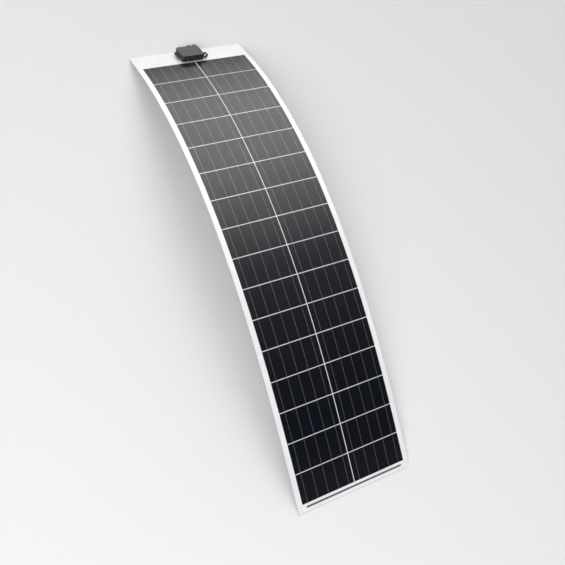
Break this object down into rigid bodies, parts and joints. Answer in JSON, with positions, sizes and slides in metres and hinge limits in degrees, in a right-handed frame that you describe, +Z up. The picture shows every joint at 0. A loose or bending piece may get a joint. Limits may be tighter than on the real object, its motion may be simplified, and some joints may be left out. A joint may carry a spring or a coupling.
{
  "type": "flexible solar sheet",
  "caption": "Bendable photovoltaic laminate with half-cut cells and a junction box at one end, shown arched.",
  "frame": {"origin": "centre of the footprint on the surface that both ends of the arched sheet stand on", "axes": "X across the sheet, +Y along it towards the junction box, +Z up"},
  "size_m": [0.344, 1.3336, 0.1539],
  "materials": {
    "white_backsheet": "satin",
    "clear_encapsulant": "clear",
    "silicon_cell": "satin",
    "tinned_ribbon": "satin",
    "clear_film": "glossy, lightly textured",
    "adhesive": "matt",
    "box_plastic": "fine grain",
    "lid_plastic": "fine grain",
    "gasket_rubber": "matt",
    "contact_metal": "satin",
    "diode_plastic": "matt"
  },
  "bodies": {
    "segment_1": {"backsheet_1": "white_backsheet", "encapsulant_1": "clear_encapsulant", "cells_1": "silicon_cell", "tabbing_ribbons_1": "tinned_ribbon", "front_film_1": "clear_film"},
    "segment_2": {"backsheet_2": "white_backsheet", "encapsulant_2": "clear_encapsulant", "cells_2": "silicon_cell", "tabbing_ribbons_2": "tinned_ribbon", "front_film_2": "clear_film"},
    "segment_3": {"backsheet_3": "white_backsheet", "encapsulant_3": "clear_encapsulant", "cells_3": "silicon_cell", "tabbing_ribbons_3": "tinned_ribbon", "front_film_3": "clear_film"},
    "segment_4": {"backsheet_4": "white_backsheet", "encapsulant_4": "clear_encapsulant", "cells_4": "silicon_cell", "tabbing_ribbons_4": "tinned_ribbon", "front_film_4": "clear_film"},
    "segment_5": {"backsheet_5": "white_backsheet", "encapsulant_5": "clear_encapsulant", "cells_5": "silicon_cell", "tabbing_ribbons_5": "tinned_ribbon", "front_film_5": "clear_film"},
    "segment_6": {"backsheet_6": "white_backsheet", "encapsulant_6": "clear_encapsulant", "cells_6": "silicon_cell", "tabbing_ribbons_6": "tinned_ribbon", "front_film_6": "clear_film"},
    "segment_7": {"backsheet_7": "white_backsheet", "encapsulant_7": "clear_encapsulant", "cells_7": "silicon_cell", "tabbing_ribbons_7": "tinned_ribbon", "front_film_7": "clear_film"},
    "segment_8": {"backsheet_8": "white_backsheet", "encapsulant_8": "clear_encapsulant", "cells_8": "silicon_cell", "tabbing_ribbons_8": "tinned_ribbon", "front_film_8": "clear_film", "cross_ribbon_tail": "tinned_ribbon"},
    "head": {"backsheet_head": "white_backsheet", "encapsulant_head": "clear_encapsulant", "front_film_head": "clear_film", "bus_ribbons_head": "tinned_ribbon", "lead_out_ribbons": "tinned_ribbon", "adhesive_pad": "adhesive", "box_base": "box_plastic", "box_gasket": "gasket_rubber", "outlet_collars": "box_plastic", "outlet_seals": "gasket_rubber", "cable_guide_ring": "box_plastic", "terminal_rails": "contact_metal", "bypass_diodes": "diode_plastic"},
    "lid": {"box_lid": "lid_plastic"}
  },
  "joints": [
    {"name": "bend_4_5", "type": "hinge", "parent": "segment_4", "child": "segment_5", "pos_m": [0, -0.02241, 0.14882], "axis": [1, 0, 0], "range_deg": [-5.85, 5.85]},
    {"name": "bend_head", "type": "hinge", "parent": "segment_1", "child": "head", "pos_m": [0, 0.60042, 0.03181], "axis": [-1, 0, 0], "range_deg": [-4.99, 4.99]},
    {"name": "bend_1_2", "type": "hinge", "parent": "segment_2", "child": "segment_1", "pos_m": [0, 0.45326, 0.09563], "axis": [-1, 0, 0], "range_deg": [-9.35, 9.35]},
    {"name": "bend_2_3", "type": "hinge", "parent": "segment_3", "child": "segment_2", "pos_m": [0, 0.29768, 0.13485], "axis": [-1, 0, 0], "range_deg": [-8.2, 8.2]},
    {"name": "bend_3_4", "type": "hinge", "parent": "segment_4", "child": "segment_3", "pos_m": [0, 0.13808, 0.15162], "axis": [-1, 0, 0], "range_deg": [-7.05, 7.05]},
    {"name": "bend_5_6", "type": "hinge", "parent": "segment_5", "child": "segment_6", "pos_m": [0, -0.18181, 0.12968], "axis": [1, 0, 0], "range_deg": [-4.75, 4.75]},
    {"name": "bend_6_7", "type": "hinge", "parent": "segment_6", "child": "segment_7", "pos_m": [0, -0.33913, 0.09753], "axis": [1, 0, 0], "range_deg": [-3.6, 3.6]},
    {"name": "bend_7_8", "type": "hinge", "parent": "segment_7", "child": "segment_8", "pos_m": [0, -0.49416, 0.0557], "axis": [1, 0, 0], "range_deg": [-2.45, 2.45]},
    {"name": "lid_lift", "type": "slide", "parent": "head", "child": "lid", "axis": [0, 0.4754, 0.8798], "range_m": [0, 0.05]}
  ],
  "couplings": [
    {"joint": "bend_head", "follows": "bend_4_5", "ratio": 0.84394},
    {"joint": "bend_1_2", "follows": "bend_4_5", "ratio": 1.5896},
    {"joint": "bend_2_3", "follows": "bend_4_5", "ratio": 1.3931},
    {"joint": "bend_3_4", "follows": "bend_4_5", "ratio": 1.1965},
    {"joint": "bend_5_6", "follows": "bend_4_5", "ratio": 0.80346},
    {"joint": "bend_6_7", "follows": "bend_4_5", "ratio": 0.60693},
    {"joint": "bend_7_8", "follows": "bend_4_5", "ratio": 0.41039}
  ]
}
